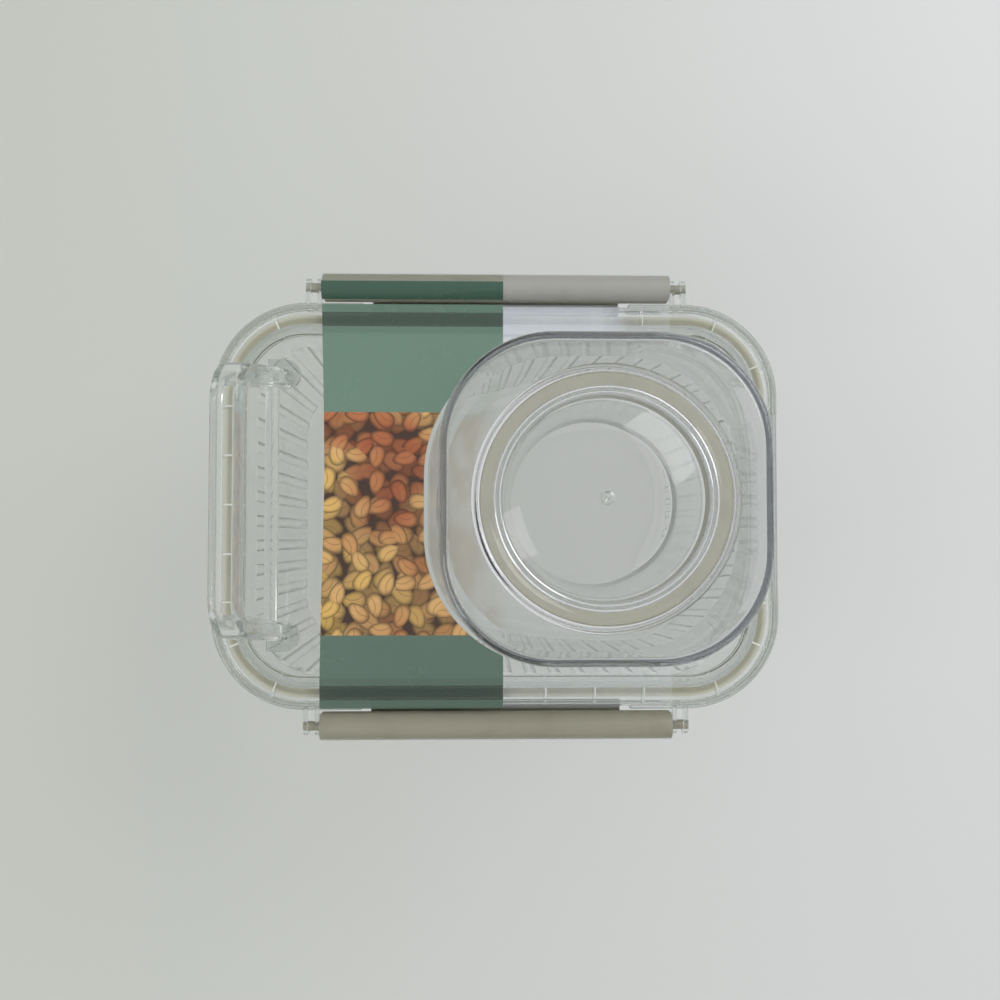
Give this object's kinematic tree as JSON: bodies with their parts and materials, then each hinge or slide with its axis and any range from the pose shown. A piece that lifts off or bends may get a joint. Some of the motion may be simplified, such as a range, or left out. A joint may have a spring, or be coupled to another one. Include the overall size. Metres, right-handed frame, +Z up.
{
  "type": "rice and grain keeper",
  "caption": "Clear fluted plastic grain keeper with a gasketed lid, side flip latches, a carry handle and a measuring cup upside down over a round pour neck.",
  "frame": {"origin": "middle of the tub's base, on the surface it stands on", "axes": "+Z up, +X along the length from the handle towards the cup, +Y towards the back latch"},
  "size_m": [0.182, 0.151, 0.203],
  "materials": {
    "clear_plastic": "clear polished moulding",
    "latch_plastic": "greige satin moulding",
    "silicone": "translucent beige silicone",
    "label_print": "printed film",
    "label_film": "clear film"
  },
  "bodies": {
    "tub": {"tub_body": "clear_plastic"},
    "lid": {"lid_shell": "clear_plastic", "lid_gasket": "silicone", "pour_neck": "clear_plastic", "neck_seal": "silicone", "carry_handle": "clear_plastic", "label_sleeve": "label_print"},
    "latch_back": {"latch_back": "latch_plastic", "label_tab_back": "label_print"},
    "latch_front": {"latch_front": "latch_plastic", "label_tab_front": "label_film"},
    "cup": {"measuring_cup": "clear_plastic"}
  },
  "joints": [
    {"name": "lid_lift", "type": "slide", "parent": "tub", "child": "lid", "axis": [0, 0, 1], "range_m": [0, 0.07]},
    {"name": "latch_back_flip", "type": "hinge", "parent": "lid", "child": "latch_back", "pos_m": [0, 0.0705, 0.1425], "axis": [1, 0, 0], "range_deg": [0, 110]},
    {"name": "latch_front_flip", "type": "hinge", "parent": "lid", "child": "latch_front", "pos_m": [0, -0.0705, 0.1425], "axis": [-1, 0, 0], "range_deg": [0, 110]},
    {"name": "cup_lift", "type": "slide", "parent": "lid", "child": "cup", "axis": [0, 0, 1], "range_m": [0, 0.07]}
  ]
}
